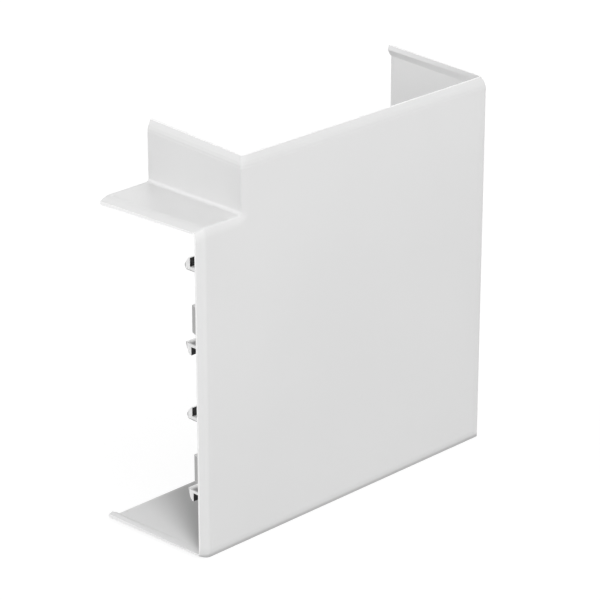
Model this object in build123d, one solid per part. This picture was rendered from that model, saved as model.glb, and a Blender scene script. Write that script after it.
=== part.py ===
from build123d import *
import os

# Flat bend cover for wall trunking, moulded in one piece and open at both mouths and at
# the wall side. Millimetres. It is drawn with x = 0 at the front edge of the left mouth,
# y = 0 at the front face and z = 0 under the bottom wall, and moved to its own frame last.

# The trunking that runs in from the left and turns upwards, seen from the front
run_width = 140.0
run_depth = 52.0
opening_width = 38.0
opening_pitch = 67.0

# Room left between the trunking and the lips and claws that close on it
side_clearance = 0.2
face_clearance = 0.4
claw_clearance = 1.2

# Shell
wall = 2.2
rim_wall = 1.5
rim_lead = 2.3
inner_leg = 24.4
inside_radius = 1.0
turn_radius = 1.6
corner_radius = 0.6

# Front edges: a slant that reaches far over the front face and little down the sides,
# run into both by a radius
slant_over = 3.0
slant_down = 0.9
over_radius = 10.0
down_radius = 1.0

# Lip round each mouth: outside it turns in softly at its bend and more at its knee. Its
# edge is thin at the front and thicker towards the wall, and the mouth's plane leans out.
lip_length = 5.0
lip_step = 1.7
lip_edge = 0.7
edge_rise = 0.8
bend_place = 3.7
bend_step = 0.2
knee_place = 2.4
knee_step = 0.6
mouth_rake = 2.5

# Bead inside the lip, flush with it at the front and standing in most at the wall
bead_place = 2.0
bead_rise = 1.5

# Snap claws behind the front face, two for each opening of the trunking
claw_inset = 10.0
claw_width = 8.0
claw_reach = 20.4
catch_reach = 16.1
catch_hold = 2.6
stem_thickness = 1.7
barb_land = 0.8
nose_height = 1.6
nose_taper = 1.1
nose_taper_length = 2.3
root_radius = 0.6

# Stop tab between the claws of a pair, with a sloped face towards the mouth
tab_length = 12.0
tab_inset = 0.5
tab_thickness = 3.4
tab_reach = 6.9
tab_slope = 1.8

# Length of each leg past its mouth while it is drawn, cut off again at the mouth, and how
# near an edge lies to the place that it is looked for at
overrun = 20.0
tolerance = 0.01

# Sizes that follow from the trunking and the shell
mouth_width = run_width + 2 * (side_clearance + lip_step + wall)
cover_depth = run_depth + face_clearance + lip_step + wall
cover_side = mouth_width + inner_leg
past_back = cover_depth + overrun
rake_slope = mouth_rake / cover_depth
edge_inset = lip_step + lip_edge
bead_inset = wall + (edge_inset - wall) * (1 - bead_place / lip_length)
stem_outer = opening_width / 2 - claw_clearance
stem_inner = stem_outer - stem_thickness
barb_crest = opening_width / 2 + catch_hold


def mouth_plane(distance):
    """Plane across the left mouth, leaning with it, at a distance inside its edge."""
    return Plane(origin=(distance, 0, 0), z_dir=(1, rake_slope, 0))


diagonal = Plane(origin=(cover_side, 0, 0), z_dir=(1, 0, 1))


def both_mouths(piece):
    """A piece at the left mouth, and the same at the top mouth across the diagonal."""
    return [piece, mirror(piece, about=diagonal)]


def bend_outline(inset):
    """The L of the bend from the front, inside its outer faces, running past both mouths."""
    low, high = inset, mouth_width - inset
    right, left = cover_side - inset, inner_leg + inset
    return Polyline(
        (-overrun, low),
        (right, low),
        (right, cover_side + overrun),
        (left, cover_side + overrun),
        (left, high),
        (-overrun, high),
        close=True,
    )


def across(distance):
    """Plane parallel to the front face, at a distance behind it, looking at the front."""
    return Plane(origin=(0, distance, 0), x_dir=(1, 0, 0), z_dir=(0, -1, 0))


def bend_block(inset, back, corner_turn, spread=0):
    """Solid L inside the outer faces, its sides standing in by the spread at the cover's back."""
    grown = inset + spread * back / cover_depth
    sections = [across(inset) * make_face(bend_outline(inset))]
    sections += [across(back) * make_face(bend_outline(grown))]
    block = loft(sections, ruled=True)
    turn = block.edges().sort_by_distance(
        (inner_leg + inset, (inset + back) / 2, mouth_width - inset)
    )[0]
    return fillet(turn, corner_turn)


def edges_at(block, depth):
    """The edges of a block that lie at one depth behind the front face."""
    return block.edges().filter_by_position(Axis.Y, depth - tolerance, depth + tolerance)


def rim_at(block, depth):
    """The edges that run round the bend at a depth, without those that close its two legs."""
    return [
        edge for edge in edges_at(block, depth)
        if edge.center().X > -overrun / 2 and edge.center().Z < cover_side + overrun / 2
    ]


def solid_bend(inset):
    """Solid L with the soft front edges of the outside."""
    block = bend_block(inset, cover_depth, turn_radius)
    front_face = block.faces().sort_by(Axis.Y)[0]
    block = chamfer(rim_at(block, inset), slant_over, slant_down, reference=front_face)
    block = fillet(rim_at(block, inset + slant_down), down_radius)
    block = fillet(rim_at(block, inset), over_radius)
    corner = block.edges().sort_by_distance((cover_side - inset, cover_depth / 2, inset))[0]
    return fillet(corner, corner_radius)


def hollow_bend(inset, spread=0):
    """Solid L with the front edges of the inside, running past the open back."""
    block = bend_block(inset, past_back, turn_radius + wall, spread)
    return fillet(rim_at(block, inset), inside_radius)


def slice_at(block, distance):
    """Slice across the left leg of a block, on a leaning mouth plane."""
    return section(block, section_by=mouth_plane(distance)).faces()[0]


def between_mouths(block):
    """The block without its two lips."""
    cut = mouth_plane(lip_length)
    block = split(block, bisect_by=cut, keep=Keep.TOP)
    block = mirror(block, about=diagonal)
    block = split(block, bisect_by=cut, keep=Keep.TOP)
    return mirror(block, about=diagonal)


def outer_form():
    """Everything inside the moulding's outer faces."""
    body = solid_bend(0)
    root = slice_at(body, lip_length)
    turn = slice_at(solid_bend(bend_step), bend_place)
    knee = slice_at(solid_bend(knee_step), knee_place)
    edge = slice_at(solid_bend(lip_step), 0)
    return between_mouths(body) + both_mouths(loft([root, turn, knee, edge], ruled=True))


def hollow():
    """The space inside the walls, past the open back."""
    body = hollow_bend(wall)
    root = slice_at(body, lip_length)
    bead = slice_at(hollow_bend(bead_inset, bead_rise), bead_place)
    edge = slice_at(hollow_bend(edge_inset, edge_rise), 0)
    return between_mouths(body) + both_mouths(loft([root, bead, edge], ruled=True))


def rim_taper():
    """Lead at the open back, where the walls thin down, drawn on to twice its length."""
    start = across(cover_depth - rim_lead)
    end = across(cover_depth + rim_lead)
    sections = [start * make_face(bend_outline(wall))]
    sections += [end * make_face(bend_outline(2 * rim_wall - wall))]
    return between_mouths(loft(sections, ruled=True))


def claw(centre, side):
    """One claw of the left mouth: a stem with a barb, above or below an opening's centre."""
    root = wall / 2
    profile = Polyline(
        (root, stem_inner),
        (claw_reach - nose_height, stem_inner),
        (claw_reach, stem_inner + nose_height / 2),
        (claw_reach, stem_inner + nose_height),
        (catch_reach + barb_land, barb_crest),
        (catch_reach, barb_crest),
        (catch_reach, stem_outer),
        (root, stem_outer),
        close=True,
    )
    plan = Polyline(
        (0, root),
        (0, claw_reach - nose_taper_length),
        (nose_taper, claw_reach),
        (claw_width - nose_taper, claw_reach),
        (claw_width, claw_reach - nose_taper_length),
        (claw_width, root),
        close=True,
    )
    upright = Plane(origin=(0, 0, 0), x_dir=(0, 1, 0), z_dir=(1, 0, 0))
    shape = extrude(upright * make_face(profile), amount=claw_width)
    shape &= extrude(Plane.XY * make_face(plan), amount=barb_crest)
    if side < 0:
        shape = mirror(shape, about=Plane.XY)
    return Pos(claw_inset, 0, centre) * shape


def stop_tab(centre):
    """Short rib inside the left mouth that the end of the trunking's lid meets."""
    plan = Polyline(
        (tab_inset, wall),
        (tab_inset + tab_slope, tab_reach),
        (tab_inset + tab_thickness, tab_reach),
        (tab_inset + tab_thickness, wall),
        close=True,
    )
    tab = extrude(Plane.XY * make_face(plan), amount=tab_length)
    return Pos(0, 0, centre - tab_length / 2) * tab


def claw_roots(cover):
    """The edges where the claws stand on the inside of the front plate."""
    return [
        edge for edge in edges_at(cover, wall)
        if stem_thickness - tolerance < edge.length < claw_width + tolerance
    ]


def bend_cover():
    """The whole moulding in its own frame, standing on its bottom wall."""
    cover = outer_form() - hollow() - rim_taper()
    for side in (-1, 1):
        centre = mouth_width / 2 + side * opening_pitch / 2
        for piece in (claw(centre, 1), claw(centre, -1), stop_tab(centre)):
            cover += both_mouths(piece)
    cover = fillet(claw_roots(cover), root_radius)
    return Pos((mouth_rake - cover_side) / 2, -cover_depth / 2, 0) * cover


os.makedirs("parts", exist_ok=True)
moulding = bend_cover()
export_step(moulding, "parts/flat_bend_cover.step")
size = moulding.bounding_box().size
print(f"flat_bend_cover {size.X:.2f} x {size.Y:.2f} x {size.Z:.2f} mm, "
      f"{len(moulding.solids())} solid, {moulding.volume / 1000:.1f} cm3, "
      f"valid {moulding.is_valid}")
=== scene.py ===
# %% [markdown]
# # A flat bend for wall trunking, dressed for its picture
#
# The object is a right-angle cover that is pushed over two runs of plastic trunking where
# they meet on a wall. It is one white moulding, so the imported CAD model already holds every
# real form of it: the shell, the lips, the snap claws and the stop tabs. What is left for
# Blender is how such a moulding looks. This notebook loads the model, places the camera,
# builds the finish from small shader groups, and lights it in a plain pale studio.

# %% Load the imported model
import bpy
import numpy as np
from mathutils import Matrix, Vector


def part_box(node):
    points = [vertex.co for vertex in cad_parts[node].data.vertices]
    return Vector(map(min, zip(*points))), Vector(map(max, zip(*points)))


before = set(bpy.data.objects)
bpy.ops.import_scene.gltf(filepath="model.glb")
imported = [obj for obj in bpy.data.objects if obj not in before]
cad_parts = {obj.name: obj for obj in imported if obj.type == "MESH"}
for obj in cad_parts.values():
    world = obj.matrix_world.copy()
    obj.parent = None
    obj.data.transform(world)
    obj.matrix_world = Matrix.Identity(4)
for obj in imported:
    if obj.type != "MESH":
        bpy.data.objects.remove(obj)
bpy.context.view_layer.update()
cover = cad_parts["flat_bend_cover"]
low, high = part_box("flat_bend_cover")
print("cover", [round(1000 * (b - a), 2) for a, b in zip(low, high)], "mm,",
      len(cover.data.polygons), "triangles")

# %% [markdown]
# ## The sizes that the finish follows
#
# The marks of the finish sit on real features, so they need a few of the moulding's own
# sizes: how wide its mouths are and how they lean, how far apart the two openings of the
# trunking are, and where the claws and the stop tabs stand behind the front plate. They are
# the same sizes that the CAD source gives, written here in metres. The places that follow
# from them are worked out from the model's own box.

# %% Sizes of the moulding
MM = 0.001
WALL = 2.2 * MM
MOUTH_WIDTH, MOUTH_RAKE = 148.2 * MM, 2.5 * MM
INNER_LEG = 24.4 * MM
LIP_BEND = 3.7 * MM
OPENING_PITCH = 67 * MM
CLAW_INSET, CLAW_WIDTH, CLAW_REACH = 10 * MM, 8 * MM, 20.4 * MM
STEM_INNER, STEM_OUTER = 16.1 * MM, 17.8 * MM
BARB_CREST, CATCH_REACH = 21.6 * MM, 16.1 * MM
TAB_INSET, TAB_LENGTH, TAB_THICKNESS = 0.5 * MM, 12 * MM, 3.4 * MM
print("openings", round(OPENING_PITCH / MM, 1), "mm apart, claws reach",
      round(CLAW_REACH / MM, 1), "mm behind the front")

# %% Places on the moulding
MOUTH_X = low[0] + MOUTH_RAKE
FRONT, DEPTH = low[1], high[1] - low[1]
FOLD = high[0]
MID_HEIGHT = MOUTH_WIDTH / 2
HEEL_X, HEEL_Z = MOUTH_X + INNER_LEG, low[2] + MOUTH_WIDTH
CLAW_MIDDLE = CLAW_INSET + CLAW_WIDTH / 2
TAB_MIDDLE = TAB_INSET + TAB_THICKNESS / 2
print("left mouth at", round(MOUTH_X / MM, 2), "mm, legs fold where x + z is",
      round(FOLD / MM, 2), "mm")

# %% [markdown]
# ## The camera
#
# The photograph was taken with a long lens from the front left, a little above. Fitting
# the moulding's corners to the picture gives the place, the direction and the lens. The
# camera has no roll and no shift, so a point, a direction and a focal length are all of it.

# %% Camera
VIEW_FROM = (-0.8143, -0.8141, 0.5632)
VIEW_ALONG = Vector((0.65326, 0.65286, -0.38340))
camera_data = bpy.data.cameras.new("studio_camera")
camera_data.sensor_width = 36
camera_data.lens = 173.3
camera_data.clip_start = 0.01
camera_data.clip_end = 20
camera = bpy.data.objects.new("studio_camera", camera_data)
camera.location = VIEW_FROM
camera.rotation_euler = VIEW_ALONG.to_track_quat("-Z", "Y").to_euler()
bpy.context.scene.collection.objects.link(camera)
bpy.context.scene.camera = camera
print("camera", round(camera.location.length, 2), "m from the origin, lens",
      round(camera_data.lens, 1), "mm")

# %% [markdown]
# ## Small tools for shader nodes
#
# A finish made of nodes can be drawn by hand or written. Written, it needs a few short
# helpers, so that each line of a recipe reads like a line of arithmetic. A value goes into a
# socket either as a link or as a plain number, and every helper gives back a socket that
# the next line can use. A group is a recipe with named sockets, so that the material only
# has to name what it wants.

# %% Tools for numbers
def feed(tree, socket, value):
    """Link a socket to another node's output, or give it a plain value."""
    if isinstance(value, bpy.types.NodeSocket):
        tree.links.new(value, socket)
    else:
        socket.default_value = value


def number(tree, operation, *values):
    """One Math node, its values in order."""
    node = tree.nodes.new("ShaderNodeMath")
    node.operation = operation
    for socket, value in zip(node.inputs, values):
        feed(tree, socket, value)
    return node.outputs[0]


def parts_of(tree, vector):
    """The x, y and z of a vector."""
    node = tree.nodes.new("ShaderNodeSeparateXYZ")
    feed(tree, node.inputs[0], vector)
    return node.outputs[0], node.outputs[1], node.outputs[2]


operations = bpy.types.ShaderNodeMath.bl_rna.properties["operation"].enum_items
print("number() writes any of the", len(operations), "operations of a Math node")

# %% Tools for groups
VECTORS = ("Place", "Facing")


def new_group(name, wants, gives):
    """An empty shader group with its sockets by name, and its inner ends."""
    group = bpy.data.node_groups.new(name, "ShaderNodeTree")
    for side, names in (("INPUT", wants), ("OUTPUT", gives)):
        for socket in names:
            kind = "NodeSocketVector" if socket in VECTORS else "NodeSocketFloat"
            group.interface.new_socket(socket, in_out=side, socket_type=kind)
    entry = group.nodes.new("NodeGroupInput")
    end = group.nodes.new("NodeGroupOutput")
    return group, entry.outputs, end.inputs


def tell(group):
    """Print what a finished group makes, what from, and how many nodes it took."""
    names = {"INPUT": [], "OUTPUT": []}
    for item in group.interface.items_tree:
        names[item.in_out].append(item.name)
    print(group.name, "makes", ", ".join(names["OUTPUT"]), "from", ", ".join(names["INPUT"]),
          "with", len(group.nodes), "nodes")


print("sockets named", " and ".join(VECTORS), "are vectors, all others are numbers")

# %% [markdown]
# ## Where a point lies in its leg
#
# The two legs of the bend mirror each other across the plane through its two corners, so
# every mark only has to be written for the left leg. A point on the upper leg is folded
# over: by as much as x + z goes past the plane, both x and z go back. A vertex group or a
# UV map could carry the same facts, but the mesh is the CAD's and stays as it is.
#
# The group gives six numbers: how far along the leg a point is, how far inside its leaning
# mouth, how deep behind the front, how high over the leg's middle line, how far across from
# the middle of the nearer opening, and 1 on the upper leg.

# %% Group: place in the leg
leg_place, given, wanted = new_group(
    "leg_place", ["Place"], ["Along", "Inside", "Depth", "Height", "Across", "Upper"])
x, y, z = parts_of(leg_place, given["Place"])
past = number(leg_place, "SUBTRACT", number(leg_place, "ADD", x, z), FOLD)
# The plane is x + z = FOLD, and (x - past, z - past) is a point's mirror image in it
over = number(leg_place, "MAXIMUM", past, 0.0)
along = number(leg_place, "SUBTRACT", number(leg_place, "SUBTRACT", x, over), MOUTH_X)
depth = number(leg_place, "SUBTRACT", y, FRONT)
lean = number(leg_place, "MULTIPLY", depth, MOUTH_RAKE / DEPTH)
height = number(leg_place, "SUBTRACT", number(leg_place, "SUBTRACT", z, over), MID_HEIGHT)
from_opening = number(leg_place, "SUBTRACT", number(leg_place, "ABSOLUTE", height),
                      OPENING_PITCH / 2)
feed(leg_place, wanted["Along"], along)
feed(leg_place, wanted["Inside"], number(leg_place, "ADD", along, lean))
feed(leg_place, wanted["Depth"], depth)
feed(leg_place, wanted["Height"], height)
feed(leg_place, wanted["Across"], number(leg_place, "ABSOLUTE", from_opening))
feed(leg_place, wanted["Upper"], number(leg_place, "GREATER_THAN", over, 0.0))
tell(leg_place)

# %% [markdown]
# ## The satin of the mould
#
# The steel of such a mould is left with a fine, even spark-eroded grain, which the plastic
# copies. At arm's length it can't be seen as a pattern: it only takes the mirror off the
# surface. Two noises do it, one for the grain and a wider one for the faint waves that the
# plastic sets with, and both go to the height of a bump.

# %% Group: moulded grain
GRAIN_SCALE, WAVE_SCALE = 2600, 45


def noise(tree, vector, scale, detail):
    """A noise over a vector, from 0 to 1, its cells about 1 / scale across."""
    node = tree.nodes.new("ShaderNodeTexNoise")
    feed(tree, node.inputs["Vector"], vector)
    node.inputs["Scale"].default_value = scale
    node.inputs["Detail"].default_value = detail
    return node.outputs[0]


grain, given, wanted = new_group("moulded_grain", ["Place", "Grain", "Waves"], ["Relief"])
fine = noise(grain, given["Place"], GRAIN_SCALE, detail=2)
wide = noise(grain, given["Place"], WAVE_SCALE, detail=1)
feed(grain, wanted["Relief"], number(
    grain, "ADD", number(grain, "MULTIPLY", fine, given["Grain"]),
    number(grain, "MULTIPLY", wide, given["Waves"])))
tell(grain)

# %% [markdown]
# ## Masks
#
# A mask is a number that is 1 where a mark lies and 0 elsewhere. Painting it by hand would
# tie it to a picture, so it is worked out from the place in the leg: a soft step at each
# side of the mark, and the product of the steps. All the marks below are made of these few
# forms. A step is always written as where it is still 0 and where it is 1, and the gap
# between the two is its soft edge.

# %% Tools for masks
def rise(tree, value, start, end):
    """A soft step that is 0 where the value is at its start and 1 where it is at its end."""
    node = tree.nodes.new("ShaderNodeMapRange")
    node.interpolation_type = "SMOOTHSTEP"
    feed(tree, node.inputs["Value"], value)
    node.inputs["From Min"].default_value = start
    node.inputs["From Max"].default_value = end
    return node.outputs["Result"]


def near(tree, value, middle, half, soft):
    """1 where the value is within half of the middle, and 0 from soft beyond that."""
    gap = number(tree, "ABSOLUTE", number(tree, "SUBTRACT", value, middle))
    return rise(tree, gap, half + soft, half)


def hump(tree, value, middle, width):
    """The bell curve exp(-(distance / width) squared) round a middle."""
    share = number(tree, "DIVIDE", number(tree, "SUBTRACT", value, middle), width)
    square = number(tree, "MULTIPLY", share, share)
    return number(tree, "EXPONENT", number(tree, "MULTIPLY", square, -1.0))


def all_of(tree, *values):
    """The product of several masks, which is 1 only where every one of them is."""
    total = values[0]
    for value in values[1:]:
        total = number(tree, "MULTIPLY", total, value)
    return total


def any_of(tree, *values):
    """The highest of several masks at each point."""
    total = values[0]
    for value in values[1:]:
        total = number(tree, "MAXIMUM", total, value)
    return total


print("a hump is down to", round(float(np.exp(-4)), 3), "at twice its width")

# %% [markdown]
# ## Sinks over the ribs
#
# Where a claw or a tab stands behind the front plate there is more plastic, which shrinks
# more as it cools and draws the face in by a few hundredths of a millimetre. It is what
# gives a moulded face away when the light rakes over it. The mesh could be dented, but
# a dent this shallow is only ever seen as shading, so it is a bump.

# %% Group: sinks
CLAW_SINK, TAB_SINK = 2.2 * MM, 2.6 * MM
SINK_INSET, SINK_SOFT = 1 * MM, 3 * MM
FRONT_SKIN = (1.2 * MM, 0.4 * MM)
sinks, given, wanted = new_group("sink_marks", ["Along", "Depth", "Across"], ["Relief"])
over_claw = all_of(
    sinks, hump(sinks, given["Across"], (STEM_INNER + STEM_OUTER) / 2, CLAW_SINK),
    near(sinks, given["Along"], CLAW_MIDDLE, CLAW_WIDTH / 2 - SINK_INSET, SINK_SOFT))
over_tab = all_of(
    sinks, hump(sinks, given["Along"], TAB_MIDDLE, TAB_SINK),
    near(sinks, given["Across"], 0.0, TAB_LENGTH / 2 - SINK_INSET, SINK_SOFT))
dent = all_of(sinks, any_of(sinks, over_claw, over_tab),
              rise(sinks, given["Depth"], *FRONT_SKIN))
feed(sinks, wanted["Relief"], number(sinks, "MULTIPLY", dent, -1.0))
tell(sinks)

# %% [markdown]
# ## Marks of the tool on the hidden side
#
# A cover like this is pushed out of its mould by round pins, and each leaves a shallow ring
# on the inside of the front plate. The plastic came in at one point in the middle of the
# plate, where a small round scar with a sunk collar is left. Both lie behind the plate, where
# the maker hides them, and show only from behind. The pins stand on a square grid, so one
# ring is written and the place is repeated.

# %% Tools for rings
def from_nearest(tree, value, first, pitch):
    """How far a value is from the nearest of the lines first, first + pitch, and so on."""
    turn = number(tree, "DIVIDE", number(tree, "SUBTRACT", value, first), pitch)
    return number(tree, "MULTIPLY", number(tree, "SUBTRACT", turn, number(tree, "ROUND", turn)),
                  pitch)


def length(tree, a, b):
    """The square root of a squared plus b squared."""
    squares = number(tree, "ADD", number(tree, "MULTIPLY", a, a), number(tree, "MULTIPLY", b, b))
    return number(tree, "SQRT", squares)


FIRST_PIN, PIN_PITCH, PINS_START = 30 * MM, 33.5 * MM, 24 * MM
PIN_RADIUS, RING_WIDTH, DISC_SUNK = 3 * MM, 0.16 * MM, 0.4
SCAR_WIDTH, COLLAR_RADIUS, COLLAR_WIDTH = 0.9 * MM, 2.6 * MM, 0.25 * MM
GATE_ALONG = 98 * MM
# The gate lies on the plane where the legs fold, so both legs share it
GATE_HEIGHT = FOLD - MOUTH_X - GATE_ALONG - MID_HEIGHT
print("pins every", round(PIN_PITCH / MM, 1), "mm, gate", round(GATE_HEIGHT / MM, 1),
      "mm over the middle line")

# %% Group: tool marks
tool_marks, given, wanted = new_group(
    "tool_marks", ["Along", "Depth", "Height"], ["Relief", "Disc"])
sideways = from_nearest(tool_marks, given["Along"], FIRST_PIN, PIN_PITCH)
upwards = from_nearest(tool_marks, given["Height"], 0.0, PIN_PITCH)
to_pin = length(tool_marks, sideways, upwards)
ring = hump(tool_marks, to_pin, PIN_RADIUS, RING_WIDTH)
disc = rise(tool_marks, to_pin, PIN_RADIUS, PIN_RADIUS - 0.1 * MM)
to_gate = length(tool_marks, number(tool_marks, "SUBTRACT", given["Along"], GATE_ALONG),
                 number(tool_marks, "SUBTRACT", given["Height"], GATE_HEIGHT))
scar = hump(tool_marks, to_gate, 0.0, SCAR_WIDTH)
collar = hump(tool_marks, to_gate, COLLAR_RADIUS, COLLAR_WIDTH)
raised = number(tool_marks, "ADD", ring, number(tool_marks, "SUBTRACT", scar, collar))
raised = number(tool_marks, "SUBTRACT", raised,
                number(tool_marks, "MULTIPLY", disc, DISC_SUNK))
behind_plate = all_of(tool_marks,
                      near(tool_marks, given["Depth"], WALL, 0.02 * MM, 0.03 * MM),
                      rise(tool_marks, given["Along"], PINS_START, PINS_START + 1 * MM))
feed(tool_marks, wanted["Relief"], number(tool_marks, "MULTIPLY", raised, behind_plate))
feed(tool_marks, wanted["Disc"], number(tool_marks, "MULTIPLY", disc, behind_plate))
tell(tool_marks)

# %% [markdown]
# ## Painted highlights
#
# The thin ends of the lips and the claws get painted highlight: their colour is whiter than
# the wall behind them, to stand in for the light that falls on them. The front of the left
# lip gets it faintly from its bend on, and shows as a pale band. Real scattering would cost a
# lot of samples and is lost in the exported model, and none is used here: this is a mask on
# the moulding's own places, the same from every side. A facing says how far a face looks along
# an axis, from 1 straight along it to -1 straight against it: the front plate has a
# facing_back of -1.

# %% Group: painted highlights
LIP_END_HIGHLIGHT = (0.12 * MM, 0.04 * MM)
CLAW_HIGHLIGHT = (6 * MM, 12 * MM)
LIP_HIGHLIGHT_BAND = (LIP_BEND + 1 * MM, LIP_BEND - 0.4 * MM)
LIP_HIGHLIGHT = 0.22


def claw_zone(tree, given):
    """One mask over the width of a claw, and one from its stem to the crest of its barb."""
    over_width = near(tree, given["Along"], CLAW_MIDDLE, CLAW_WIDTH / 2, 0.3 * MM)
    to_crest = near(tree, given["Across"], (STEM_INNER + BARB_CREST) / 2,
                    (BARB_CREST - STEM_INNER) / 2, 0.2 * MM)
    return over_width, to_crest


painted_highlights, given, wanted = new_group(
    "painted_highlights", ["Facing", "Along", "Inside", "Depth", "Across", "Upper"], ["Thin"])
_, facing_back, _ = parts_of(painted_highlights, given["Facing"])
# Painted highlight at the lip ends, on the claws and on the left lip's front
lip_end_highlight = rise(painted_highlights, given["Inside"], *LIP_END_HIGHLIGHT)
claw_highlight = all_of(painted_highlights, *claw_zone(painted_highlights, given),
                 rise(painted_highlights, given["Depth"], *CLAW_HIGHLIGHT))
left_lip_highlight = all_of(
    painted_highlights, rise(painted_highlights, given["Inside"], *LIP_HIGHLIGHT_BAND),
    rise(painted_highlights, facing_back, -0.6, -0.85),
    number(painted_highlights, "SUBTRACT", 1.0, given["Upper"]), LIP_HIGHLIGHT)
feed(painted_highlights, wanted["Thin"], any_of(painted_highlights, lip_end_highlight, claw_highlight, left_lip_highlight))
tell(painted_highlights)

# %% [markdown]
# ## Painted shade in deep corners
#
# Deep corners, which see little of the room, get painted shade, a colour darkened where shade
# falls: the catch behind a barb, the root of a claw, the slope of a tab and the bottom wall
# close behind the plate go grey to nearly black in their colour. The nose and the edge of a
# claw, the cover's lowest edge and the heel of the inside corner get fainter painted shade.
# The lips of the upper mouth turn to the lamps above and would outshine the rest, so they get
# a trace of painted shade as well. A baked map could find such corners by itself, but it would
# be an image. Each corner is a mask on its own place instead, and each has its own strength.

# %% Group: deep corners, which way a face looks
painted_corner_shade, given, wanted = new_group(
    "painted_corner_shade", ["Place", "Facing", "Along", "Inside", "Depth", "Across", "Upper"],
    ["Shade"])
facing_right, facing_back, facing_up = parts_of(painted_corner_shade, given["Facing"])
place_x, _, above_floor = parts_of(painted_corner_shade, given["Place"])
facing_left = number(painted_corner_shade, "MULTIPLY", facing_right, -1.0)
# The left leg's mouth is to the left and the upper leg's mouth is up
up_not_left = number(painted_corner_shade, "SUBTRACT", facing_up, facing_left)
to_mouth = number(painted_corner_shade, "MULTIPLY_ADD", given["Upper"], up_not_left, facing_left)
over_width, to_crest = claw_zone(painted_corner_shade, given)
print(painted_corner_shade.name, "starts with", len(painted_corner_shade.nodes), "nodes")

# %% Group: deep corners, the claws
ROOT_SPOT = 13.5 * MM
# Painted shade on the claws: in the catch, at the stem's root, on the nose and along the stem's
# edge
catch = all_of(
    painted_corner_shade, over_width, to_crest, rise(painted_corner_shade, facing_back, -0.6, -0.9),
    near(painted_corner_shade, given["Depth"], CATCH_REACH, 0.1 * MM, 0.1 * MM))
stem_root = all_of(
    painted_corner_shade, over_width,
    near(painted_corner_shade, given["Across"], STEM_INNER, 0.05 * MM, 0.05 * MM),
    near(painted_corner_shade, given["Depth"], ROOT_SPOT, 2 * MM, 3 * MM),
    rise(painted_corner_shade, given["Along"], CLAW_INSET + 6 * MM, CLAW_INSET + 2 * MM))
nose = all_of(
    painted_corner_shade, over_width, to_crest, rise(painted_corner_shade, to_mouth, 0.1, 0.3),
    rise(painted_corner_shade, given["Depth"], CLAW_REACH - 2 * MM, CLAW_REACH - 1 * MM))
stem_edge = all_of(
    painted_corner_shade, over_width, rise(painted_corner_shade, to_mouth, 0.8, 0.95),
    near(painted_corner_shade, given["Across"], STEM_INNER, 0.35 * MM, 0.25 * MM),
    rise(painted_corner_shade, given["Depth"], 8 * MM, 12 * MM))
print("a claw has its catch at", round(CATCH_REACH / MM, 1), "mm and its nose at",
      round(CLAW_REACH / MM, 1), "mm")

# %% Group: deep corners, the tabs and the bottom wall
# Painted shade on a tab's slope, the plate's painted shadow on the bottom wall, and painted
# shade under the lowest edge
tab = all_of(
    painted_corner_shade,
    near(painted_corner_shade, given["Along"], TAB_MIDDLE, TAB_THICKNESS / 2 + 0.1 * MM, 0.1 * MM),
    rise(painted_corner_shade, given["Across"], TAB_LENGTH / 2 + 0.2 * MM, TAB_LENGTH / 2),
    rise(painted_corner_shade, to_mouth, 0.5, 0.8),
    rise(painted_corner_shade, given["Depth"], WALL + 0.1 * MM, WALL + 0.4 * MM))
# Along / depth is the slant of the plate's soft shadow, painted over the bottom wall
slant = number(painted_corner_shade, "DIVIDE", given["Along"], given["Depth"])
bottom_wall = all_of(
    painted_corner_shade, rise(painted_corner_shade, facing_up, 0.6, 0.9),
    rise(painted_corner_shade, above_floor, 4 * MM, 3 * MM), rise(painted_corner_shade, slant, 0.25, 0.85),
    rise(painted_corner_shade, given["Along"], 90 * MM, 30 * MM))
under_edge = all_of(
    painted_corner_shade, rise(painted_corner_shade, facing_back, -0.1, -0.5),
    rise(painted_corner_shade, above_floor, 2.8 * MM, 1.1 * MM))
print("a tab's slope starts", round((WALL + 0.1 * MM) / MM, 1), "mm behind the front")

# %% Group: deep corners, the heel and the upper lips
HEEL_REACH = 24 * MM
# Painted shade in the heel of the inside corner and on the upper lips
past_heel = number(painted_corner_shade, "SUBTRACT", HEEL_X, place_x)
over_heel = number(painted_corner_shade, "SUBTRACT", above_floor, HEEL_Z)
heel = all_of(
    painted_corner_shade, rise(painted_corner_shade, past_heel, -0.4 * MM, -0.2 * MM),
    rise(painted_corner_shade, over_heel, -0.4 * MM, -0.2 * MM),
    rise(painted_corner_shade, any_of(painted_corner_shade, past_heel, over_heel), HEEL_REACH, 1 * MM))
upper_lip = all_of(
    painted_corner_shade, given["Upper"],
    rise(painted_corner_shade, given["Inside"], LIP_BEND + 2.1 * MM, LIP_BEND - 0.2 * MM))
print("heel", round(INNER_LEG / MM, 1), "mm in and", round(MOUTH_WIDTH / MM, 1), "mm up")

# %% Group: deep corners, how deep each shade is
# How dark each painted shade is
shades = {
    "catch": (catch, 0.985),
    "stem root": (stem_root, 0.8),
    "bottom wall": (bottom_wall, 0.6),
    "nose": (nose, 0.5),
    "tab": (tab, 0.48),
    "stem edge": (stem_edge, 0.35),
    "under edge": (under_edge, 0.26),
    "heel": (heel, 0.06),
    "upper lip": (upper_lip, 0.055),
}
feed(painted_corner_shade, wanted["Shade"], any_of(painted_corner_shade, *(
    number(painted_corner_shade, "MULTIPLY", mask, strength) for mask, strength in shades.values())))
print("shades", {name: strength for name, (mask, strength) in shades.items()})
tell(painted_corner_shade)

# %% [markdown]
# ## The white plastic
#
# The finish is one material for the whole moulding. Its base is a clean neutral white, a
# little under paper white, because a plastic that is written as pure white has no room left
# for light and shade. Over that base go the painted highlights and the painted shade of the
# deep corners, a slow drift of a percent in tone, and a roughness that changes a little with
# the same drift. The grain, the sinks and the tool marks are added as one height in metres
# for the bump.

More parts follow.
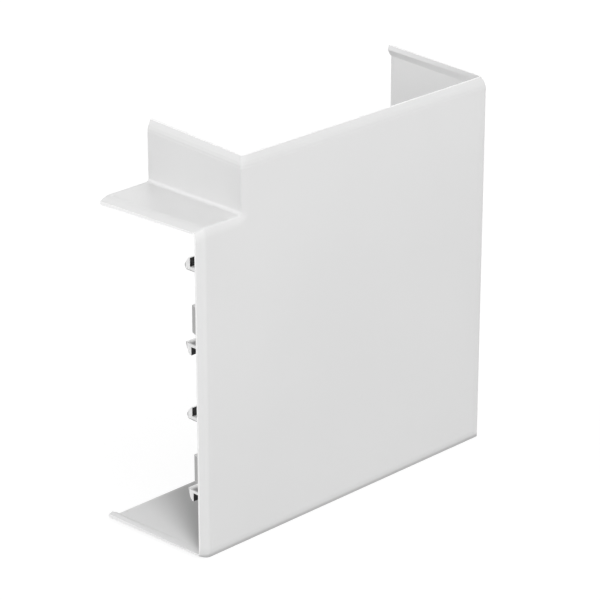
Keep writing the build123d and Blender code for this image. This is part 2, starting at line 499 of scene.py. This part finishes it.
# %% Tools for materials
def new_material(name):
    """An empty node material, its node tree and its output node."""
    material = bpy.data.materials.new(name)
    material.use_nodes = True
    tree = material.node_tree
    tree.nodes.clear()
    return material, tree, tree.nodes.new("ShaderNodeOutputMaterial")


def use(tree, group, known):
    """A shader group placed in a tree, each of its inputs fed from the known values by name."""
    node = tree.nodes.new("ShaderNodeGroup")
    node.node_tree = group
    for socket in node.inputs:
        feed(tree, socket, known[socket.name])
    return node.outputs


def blend(tree, share, first, second):
    """A colour that goes from the first to the second with the share."""
    node = tree.nodes.new("ShaderNodeMix")
    node.data_type = "RGBA"
    feed(tree, node.inputs[0], share)
    feed(tree, node.inputs[6], first)
    feed(tree, node.inputs[7], second)
    return node.outputs[2]


print("groups so far:", ", ".join(group.name for group in bpy.data.node_groups))

# %% White plastic: the groups at work
GRAIN_HEIGHT, WAVE_HEIGHT = 0.012 * MM, 0.02 * MM
plastic, tree, output = new_material("white_plastic")
texture = tree.nodes.new("ShaderNodeTexCoord")
known = {"Place": texture.outputs["Object"], "Facing": texture.outputs["Normal"],
         "Grain": GRAIN_HEIGHT, "Waves": WAVE_HEIGHT}
known.update({socket.name: socket for socket in use(tree, leg_place, known)})
highlight = use(tree, painted_highlights, known)
corner_shade = use(tree, painted_corner_shade, known)
marks = use(tree, tool_marks, known)
sunk = use(tree, sinks, known)
satin = use(tree, grain, known)
print("known in the material:", ", ".join(known))

# %% White plastic: its tone
DRIFT_SCALE, DRIFT_SPAN = 14, (0.3, 0.7)
TONES = ((0.757, 0.757, 0.757, 1), (0.773, 0.773, 0.773, 1))
HIGHLIGHT_WHITE = (0.985, 0.985, 0.985, 1)
PAINTED_SHADE_BLACK = (0.0, 0.0, 0.0, 1)
drift = noise(tree, known["Place"], DRIFT_SCALE, detail=2)
tone = blend(tree, rise(tree, drift, *DRIFT_SPAN), *TONES)
# Painted highlight: the colour goes whiter on the lip ends, the claws and the left lip
tone = blend(tree, highlight["Thin"], tone, HIGHLIGHT_WHITE)
# Painted shade: the colour goes towards black in the deep corners
tone = blend(tree, corner_shade["Shade"], tone, PAINTED_SHADE_BLACK)
print("tone from", TONES[0][0], "to", TONES[1][0])

# %% White plastic: its relief
SINK_DEPTH, MARK_HEIGHT = 0.03 * MM, 0.12 * MM
relief = number(tree, "ADD", satin["Relief"],
                number(tree, "MULTIPLY", sunk["Relief"], SINK_DEPTH))
relief = number(tree, "ADD", relief, number(tree, "MULTIPLY", marks["Relief"], MARK_HEIGHT))
bump = tree.nodes.new("ShaderNodeBump")
bump.inputs["Distance"].default_value = 1.0
bump.inputs["Strength"].default_value = 1.0
feed(tree, bump.inputs["Height"], relief)
print("relief up to", round(MARK_HEIGHT / MM, 2), "mm, grain", round(GRAIN_HEIGHT / MM, 3), "mm")

# %% White plastic: its gloss, and the moulding gets it
SATIN, SATIN_DRIFT, PIN_POLISH = 0.44, 0.08, 0.12
rough = number(tree, "ADD", SATIN, number(tree, "MULTIPLY", drift, SATIN_DRIFT))
rough = number(tree, "SUBTRACT", rough, number(tree, "MULTIPLY", marks["Disc"], PIN_POLISH))
shader = tree.nodes.new("ShaderNodeBsdfPrincipled")
feed(tree, shader.inputs["Base Color"], tone)
feed(tree, shader.inputs["Roughness"], rough)
feed(tree, shader.inputs["Normal"], bump.outputs["Normal"])
feed(tree, output.inputs["Surface"], shader.outputs[0])
for slot in range(len(cover.data.materials)):
    cover.data.materials[slot] = plastic
print("white plastic on", len(cover.data.materials), "slot,", len(tree.nodes), "nodes")

# %% [markdown]
# ## The floor
#
# The photograph is a cut-out on white. A floor that is simply white would throw so much
# light back up that the underside of every edge would vanish. This one is a middling paper
# to the light, which gives the bottom edge a little of it back. It shines white only to the
# rays that show a background, by Light Path, and its own grey is added to that, so that the
# soft shadow under the cover still shows. Far out, where the lamps don't reach, the glow
# goes up to a full white, and no horizon shows.

# %% Floor: the sheet
FLOOR_REACH, FLOOR_LINES = 4.0, 9


def level_sheet(name, reach, count):
    """A level square grid: the point of row i and column j is (line j, line i, 0)."""
    lines = np.linspace(-reach, reach, count)
    x, y = np.meshgrid(lines, lines)
    points = np.stack([x, y, np.zeros_like(x)], axis=-1).reshape(-1, 3)
    corner = (np.arange(count - 1)[:, None] * count + np.arange(count - 1)).ravel()
    faces = np.stack([corner, corner + 1, corner + count + 1, corner + count], axis=1)
    mesh = bpy.data.meshes.new(name)
    mesh.from_pydata(points.tolist(), [], faces.tolist())
    mesh.update()
    sheet = bpy.data.objects.new(name, mesh)
    bpy.context.scene.collection.objects.link(sheet)
    return sheet


floor = level_sheet("studio_floor", FLOOR_REACH, FLOOR_LINES)
print("floor", 2 * FLOOR_REACH, "m wide,", len(floor.data.polygons), "faces")

# %% Floor: the paper
PAPER_TO_LIGHT, PAPER_TO_EYE = 0.4, 0.2
GLOW_NEAR, GLOW_FAR = 0.86, 1.0
GLOW_START, GLOW_FULL = 0.4, 1.2


def shown(tree):
    """1 for the rays that show a background: the camera's, glossy and transmission ones."""
    ray = tree.nodes.new("ShaderNodeLightPath")
    return any_of(tree, *(ray.outputs[name] for name in
                          ("Is Camera Ray", "Is Glossy Ray", "Is Transmission Ray")))


paper, tree, output = new_material("floor_paper")
seen = shown(tree)
floor_x, floor_y, _ = parts_of(tree, tree.nodes.new("ShaderNodeTexCoord").outputs["Object"])
far = rise(tree, length(tree, floor_x, floor_y), GLOW_START, GLOW_FULL)
diffuse = tree.nodes.new("ShaderNodeBsdfDiffuse")
feed(tree, diffuse.inputs["Color"],
     number(tree, "MULTIPLY_ADD", seen, PAPER_TO_EYE - PAPER_TO_LIGHT, PAPER_TO_LIGHT))
glow = tree.nodes.new("ShaderNodeEmission")
feed(tree, glow.inputs["Strength"], number(
    tree, "MULTIPLY", seen,
    number(tree, "MULTIPLY_ADD", far, GLOW_FAR - GLOW_NEAR, GLOW_NEAR)))
both = tree.nodes.new("ShaderNodeAddShader")
feed(tree, both.inputs[0], diffuse.outputs[0])
feed(tree, both.inputs[1], glow.outputs[0])
feed(tree, output.inputs["Surface"], both.outputs[0])
floor.data.materials.append(paper)
print("paper", PAPER_TO_LIGHT, "to the light, white from", GLOW_FULL, "m out")

# %% [markdown]
# ## The lights
#
# The cover's front plate and its outer walls come out nearly the same grey in the
# photograph, its up-turned slants lighter, and the bottom wall darkens towards the plate
# along a slanting line. Such a line is the plate's own soft shadow, so the main light
# stands twenty degrees left of straight in front. Each large square lamp is equally far
# away, so its power can be set against the others like a share.

# %% Lights
CENTRE = Vector((0, 0, 0.08))
LAMP_DISTANCE, LAMP_SIZE = 1.8, 1.4
LAMPS = {
    "key_lamp": ((-0.36, -1, 0.35), 14.5),
    "high_lamp": ((0, -1, 1.3), 12.8),
    "left_lamp": ((-1, 0, 0.35), 5.0),
    "right_lamp": ((1, -0.6, 0.6), 5.0),
    "back_left_lamp": ((-1, 1, 0.6), 16.5),
    "back_right_lamp": ((1, 0.6, 0.5), 6.0),
}


def soft_lamp(name, side, power):
    """A square area lamp on one side of the object, facing it."""
    data = bpy.data.lights.new(name, "AREA")
    data.shape = "SQUARE"
    data.size = LAMP_SIZE
    data.energy = power
    lamp = bpy.data.objects.new(name, data)
    away = Vector(side).normalized()
    lamp.location = CENTRE + LAMP_DISTANCE * away
    lamp.rotation_euler = (-away).to_track_quat("-Z", "Y").to_euler()
    bpy.context.scene.collection.objects.link(lamp)
    return lamp


for name, (side, power) in LAMPS.items():
    lamp = soft_lamp(name, side, power)
    print(name, "at", [round(v, 2) for v in lamp.location], "m,", power, "W")

# %% [markdown]
# ## The room
#
# A room gives a little light from everywhere, which opens the shadows that the lamps leave.
# The world does that here. One world can be both a dim room for the light and a white
# backdrop for the picture: Light Path tells the rays that show a background from those that
# only carry light, and strength 1 is white to the first kind. The picture keeps the colours
# as they are written with the Standard view.

# %% World
ROOM_LIGHT, BACKDROP_WHITE = 0.21, 1.0


def background(tree, strength):
    """A white background of one strength."""
    node = tree.nodes.new("ShaderNodeBackground")
    node.inputs["Color"].default_value = (1, 1, 1, 1)
    node.inputs["Strength"].default_value = strength
    return node.outputs[0]


world = bpy.data.worlds.new("studio_world")
world.use_nodes = True
tree = world.node_tree
tree.nodes.clear()
mix = tree.nodes.new("ShaderNodeMixShader")
feed(tree, mix.inputs[0], shown(tree))
feed(tree, mix.inputs[1], background(tree, ROOM_LIGHT))
feed(tree, mix.inputs[2], background(tree, BACKDROP_WHITE))
feed(tree, tree.nodes.new("ShaderNodeOutputWorld").inputs["Surface"], mix.outputs[0])
bpy.context.scene.world = world
bpy.context.scene.view_settings.view_transform = "Standard"
print("room light", ROOM_LIGHT, "and a backdrop of", BACKDROP_WHITE)
